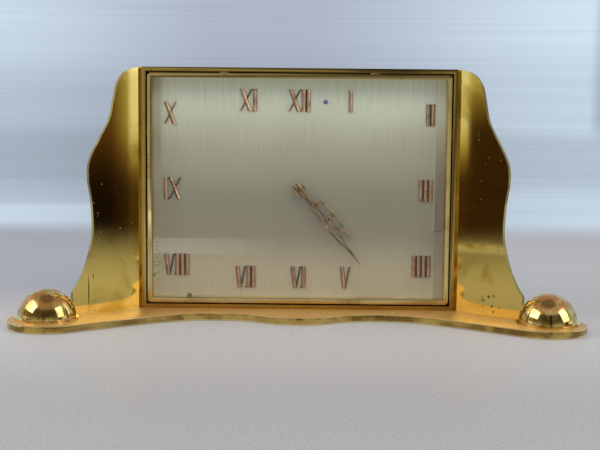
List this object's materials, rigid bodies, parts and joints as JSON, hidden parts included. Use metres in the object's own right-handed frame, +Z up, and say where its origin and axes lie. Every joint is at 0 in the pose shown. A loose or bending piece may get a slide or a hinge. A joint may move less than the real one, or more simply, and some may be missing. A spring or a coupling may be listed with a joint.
{
  "type": "desk clock",
  "caption": "Brass desk clock: a rectangular cased dial with applied numerals and openwork hands, flared wing panels and a half ball at each end of a wavy base plate.",
  "frame": {"origin": "centre of the footprint on the table, at the underside of the base plate", "axes": "+Z up, +X to the right as seen from the front, +Y to the back; the dial faces -Y"},
  "size_m": [0.2446, 0.104, 0.1108],
  "materials": {
    "base_brass": "aged, copper toned polish",
    "dome_brass": "polished, worn to copper at the crown",
    "case_brass": "polished, light tarnish",
    "wing_brass": "polished, mottled tarnish",
    "bezel_brass": "bright polish",
    "clear_glass": "clear flat pane",
    "dial_metal": "fine grained, silvered, aged",
    "numeral_gilt": "rose gilt facets",
    "hand_gilt": "rose gilt",
    "movement_brass": "fine brushed",
    "dark_brass": "unpolished",
    "bright_steel": "polished",
    "blued_steel": "blued"
  },
  "bodies": {
    "clock_case": {"base_plate": "base_brass", "dome_left": "dome_brass", "dome_right": "dome_brass", "dome_screws": "bright_steel", "base_screws": "bright_steel", "base_nuts": "bright_steel", "case_body": "case_brass", "corner_blocks": "dark_brass", "wing_left": "wing_brass", "wing_right": "wing_brass", "wing_screws": "bright_steel", "bezel": "bezel_brass", "glass": "clear_glass", "glass_retainer": "bezel_brass", "dial": "dial_metal", "numerals_top": "numeral_gilt", "numerals_right": "numeral_gilt", "numerals_bottom": "numeral_gilt", "numerals_left": "numeral_gilt", "movement_carrier": "dark_brass", "back_cover": "case_brass", "back_screws": "bright_steel", "front_plate": "movement_brass", "back_plate": "movement_brass", "pillars": "dark_brass", "plate_screws": "blued_steel", "movement_screws": "blued_steel", "click_screw": "blued_steel", "click_spring": "blued_steel", "hairspring_stud": "bright_steel"},
    "minute_set": {"minute_hand": "hand_gilt", "cannon_pinion": "bright_steel"},
    "hour_set": {"hour_hand": "hand_gilt", "hour_wheel": "movement_brass"},
    "minute_wheel_set": {"minute_wheel": "movement_brass"},
    "setting_set": {"setting_arbor": "bright_steel", "setting_knob": "movement_brass"},
    "winding_set": {"barrel_arbor": "bright_steel", "ratchet_wheel": "bright_steel", "winding_key": "movement_brass"},
    "click_pawl": {"click": "bright_steel"},
    "barrel_set": {"barrel_drum": "movement_brass", "barrel_cover": "movement_brass", "mainspring": "blued_steel"},
    "intermediate_set": {"intermediate_wheel": "movement_brass"},
    "centre_set": {"centre_wheel": "movement_brass", "centre_arbor": "bright_steel"},
    "third_set": {"third_wheel": "movement_brass"},
    "fourth_set": {"fourth_wheel": "movement_brass"},
    "escape_set": {"escape_wheel": "bright_steel"},
    "lever_set": {"pallet_lever": "bright_steel"},
    "balance_set": {"balance_wheel": "movement_brass", "balance_staff": "bright_steel", "hairspring": "blued_steel"},
    "regulator_set": {"regulator": "bright_steel"}
  },
  "joints": [
    {"name": "minute_turn", "type": "hinge", "parent": "clock_case", "child": "minute_set", "pos_m": [0, 0.0067, 0.0566], "axis": [0, 1, 0], "continuous": true},
    {"name": "hour_turn", "type": "hinge", "parent": "clock_case", "child": "hour_set", "pos_m": [0, 0.0057, 0.0566], "axis": [0, 1, 0], "continuous": true},
    {"name": "minute_wheel_turn", "type": "hinge", "parent": "clock_case", "child": "minute_wheel_set", "pos_m": [0.00649, 0.0077, 0.05922], "axis": [0, 1, 0], "continuous": true},
    {"name": "setting_turn", "type": "hinge", "parent": "clock_case", "child": "setting_set", "pos_m": [0.01349, 0.0267, 0.05947], "axis": [0, 1, 0], "continuous": true},
    {"name": "winding_turn", "type": "hinge", "parent": "clock_case", "child": "winding_set", "pos_m": [-0.013, 0.0267, 0.0716], "axis": [0, 1, 0], "continuous": true},
    {"name": "click_lift", "type": "hinge", "parent": "clock_case", "child": "click_pawl", "pos_m": [-0.00311, 0.02915, 0.07472], "axis": [0, 1, 0], "range_deg": [0, 12], "stiffness_Nm_per_rad": 0.00002, "springref_deg": -5.73, "deforming": ["click_spring"]},
    {"name": "escape_turn", "type": "hinge", "parent": "clock_case", "child": "escape_set", "pos_m": [0.00305, 0.01935, 0.04018], "axis": [0, 1, 0], "continuous": true},
    {"name": "fourth_turn", "type": "hinge", "parent": "clock_case", "child": "fourth_set", "pos_m": [0.00957, 0.01435, 0.04323], "axis": [0, 1, 0], "continuous": true},
    {"name": "third_turn", "type": "hinge", "parent": "clock_case", "child": "third_set", "pos_m": [0.00737, 0.01835, 0.05144], "axis": [0, 1, 0], "continuous": true},
    {"name": "centre_turn", "type": "hinge", "parent": "clock_case", "child": "centre_set", "pos_m": [0, 0.02235, 0.0566], "axis": [0, 1, 0], "continuous": true},
    {"name": "intermediate_turn", "type": "hinge", "parent": "clock_case", "child": "intermediate_set", "pos_m": [0.0036, 0.02135, 0.06678], "axis": [0, 1, 0], "continuous": true},
    {"name": "barrel_turn", "type": "hinge", "parent": "clock_case", "child": "barrel_set", "pos_m": [-0.013, 0.01535, 0.0716], "axis": [0, 1, 0], "continuous": true},
    {"name": "lever_rock", "type": "hinge", "parent": "clock_case", "child": "lever_set", "pos_m": [-0.00293, 0.01935, 0.03966], "axis": [0, 1, 0], "range_deg": [-5, 5]},
    {"name": "balance_swing", "type": "hinge", "parent": "clock_case", "child": "balance_set", "pos_m": [-0.0114, 0.01535, 0.03817], "axis": [0, 1, 0], "range_deg": [-220, 220], "stiffness_Nm_per_rad": 0.000006, "deforming": ["hairspring"]},
    {"name": "regulator_turn", "type": "hinge", "parent": "clock_case", "child": "regulator_set", "pos_m": [-0.0114, 0.02885, 0.03817], "axis": [0, 1, 0], "range_deg": [-18, 18]}
  ],
  "couplings": [
    {"joint": "hour_turn", "follows": "minute_turn", "ratio": 0.083333},
    {"joint": "minute_wheel_turn", "follows": "minute_turn", "ratio": -0.33333},
    {"joint": "setting_turn", "follows": "minute_turn", "ratio": 1},
    {"joint": "barrel_turn", "follows": "centre_turn", "ratio": 0.028571},
    {"joint": "intermediate_turn", "follows": "centre_turn", "ratio": -0.2},
    {"joint": "third_turn", "follows": "centre_turn", "ratio": -8},
    {"joint": "fourth_turn", "follows": "centre_turn", "ratio": 60},
    {"joint": "escape_turn", "follows": "centre_turn", "ratio": -480}
  ]
}
